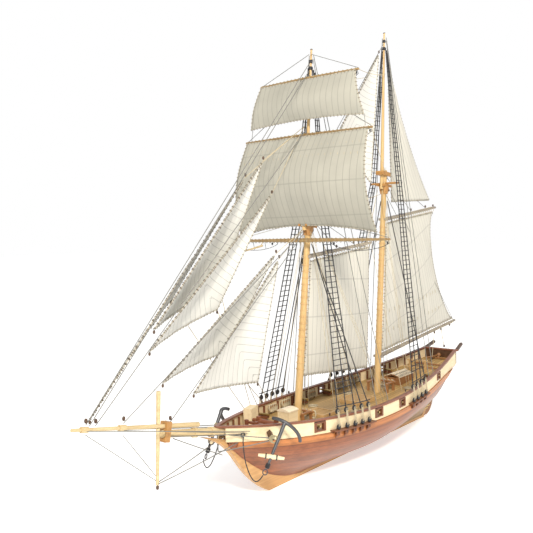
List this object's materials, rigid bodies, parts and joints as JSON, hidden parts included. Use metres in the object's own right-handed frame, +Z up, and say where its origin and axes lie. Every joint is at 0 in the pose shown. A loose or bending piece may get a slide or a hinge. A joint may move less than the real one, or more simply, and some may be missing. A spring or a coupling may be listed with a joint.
{
  "type": "topsail schooner model",
  "caption": "Wooden display model of a two-masted topsail schooner with cloth sails, standing rigging, deck fittings and anchors.",
  "frame": {"origin": "flat bottom of the keel, on the centreline, below a point midway between stem and transom", "axes": "+X towards the bow, +Y to port, +Z up"},
  "size_m": [0.5186, 0.166, 0.3917],
  "materials": {
    "blackened": "blackened, matt",
    "brass": "aged, satin",
    "cream_wood": "pale limewood, matt",
    "crosstree_wood": "golden brown, satin",
    "deck_wood": "tan planks, matt",
    "frame_wood": "plain sawn plywood",
    "hull_wood": "reddish walnut strakes, satin",
    "keel_wood": "light golden hardwood, satin",
    "mast_wood": "honey-coloured, satin",
    "pin_wood": "turned boxwood",
    "rail_wood": "dark red-brown, satin",
    "rope_black": "tarred thread",
    "rope_grey": "dark grey thread",
    "rudder_wood": "mid brown, satin",
    "sailcloth": "off-white cotton, fine seams",
    "spar_grey": "grey-brown, satin",
    "wale_wood": "orange-brown strakes, satin",
    "walnut": "dark walnut, satin",
    "yard_wood": "olive-brown, satin"
  },
  "bodies": {
    "hull": {"anchor_cable_port": "rope_black", "anchor_cable_starboard": "rope_black", "anchor_stocks": "cream_wood", "anchors": "blackened", "belaying_pins": "pin_wood", "booby_hatch": "cream_wood", "bow_locker": "walnut", "bowsprit": "cream_wood", "bowsprit_bands": "cream_wood", "bulwark_frames": "walnut", "bulwarks": "cream_wood", "cap_rails": "rail_wood", "catheads_and_davits": "rail_wood", "channels": "walnut", "deadeyes": "blackened", "deck": "deck_wood", "dolphin_striker": "cream_wood", "flying_jib": "sailcloth", "fore_lower_mast": "mast_wood", "fore_staysail": "sailcloth", "fore_topmast": "mast_wood", "frames": "frame_wood", "gun_barrels": "brass", "gun_carriages": "walnut", "hatch_gratings": "deck_wood", "inner_jib": "sailcloth", "jibboom": "cream_wood", "keel": "keel_wood", "main_lower_mast": "mast_wood", "main_topmast": "mast_wood", "main_topmast_staysail": "sailcloth", "mast_caps": "crosstree_wood", "mast_hoops": "cream_wood", "outer_jib": "sailcloth", "pin_rails": "rail_wood", "planking_port": "hull_wood", "planking_starboard": "hull_wood", "shrouds": "rope_black", "skylight": "walnut", "stays": "rope_grey", "stem_and_sternpost": "keel_wood", "stern_gallows": "deck_wood", "storm_jib": "sailcloth", "transom": "rail_wood", "wales": "wale_wood", "windlass_bitts": "rail_wood"},
    "fore_yard": {"fore_yard": "yard_wood"},
    "topsail_yard": {"topsail_yard": "yard_wood", "topsail": "sailcloth"},
    "topgallant_yard": {"topgallant_yard": "yard_wood", "topgallant_sail": "sailcloth"},
    "fore_gaff": {"fore_gaff": "spar_grey", "foresail": "sailcloth"},
    "main_boom": {"main_boom": "spar_grey", "main_gaff": "spar_grey", "mainsail": "sailcloth", "gaff_topsail": "sailcloth"},
    "rudder": {"rudder": "rudder_wood"},
    "windlass": {"windlass_barrel": "rail_wood"},
    "hatch_roof": {"booby_hatch_roof": "walnut"}
  },
  "joints": [
    {"name": "fore_yard_brace", "type": "hinge", "parent": "hull", "child": "fore_yard", "pos_m": [0.06318, 0, 0.1948], "axis": [-0.1289, 0, 0.9917], "range_deg": [-10, 10]},
    {"name": "topsail_yard_brace", "type": "hinge", "parent": "hull", "child": "topsail_yard", "pos_m": [0.05894, 0, 0.2816], "axis": [-0.1008, 0, 0.9949], "range_deg": [-11, 11]},
    {"name": "topgallant_yard_brace", "type": "hinge", "parent": "hull", "child": "topgallant_yard", "pos_m": [0.05413, 0, 0.329], "axis": [-0.1008, 0, 0.9949], "range_deg": [-11, 11]},
    {"name": "fore_gaff_swing", "type": "hinge", "parent": "hull", "child": "fore_gaff", "pos_m": [0.0729, 0, 0.12], "axis": [-0.1289, 0, 0.9917], "range_deg": [-12, 12]},
    {"name": "main_boom_swing", "type": "hinge", "parent": "hull", "child": "main_boom", "pos_m": [-0.04791, 0, 0.079], "axis": [-0.0978, 0, 0.9952], "range_deg": [-15, 15]},
    {"name": "rudder_pintles", "type": "hinge", "parent": "hull", "child": "rudder", "pos_m": [-0.1514, 0, 0.02], "axis": [-0.5508, 0, 0.8346], "range_deg": [-30, 30]},
    {"name": "windlass_turn", "type": "hinge", "parent": "hull", "child": "windlass", "pos_m": [0.121, 0, 0.0527], "axis": [0, 1, 0], "continuous": true},
    {"name": "hatch_roof_slide", "type": "slide", "parent": "hull", "child": "hatch_roof", "axis": [1, 0, 0], "range_m": [0, 0.008]}
  ],
  "couplings": [
    {"joint": "topsail_yard_brace", "follows": "fore_yard_brace", "ratio": 1},
    {"joint": "topgallant_yard_brace", "follows": "fore_yard_brace", "ratio": 1}
  ]
}
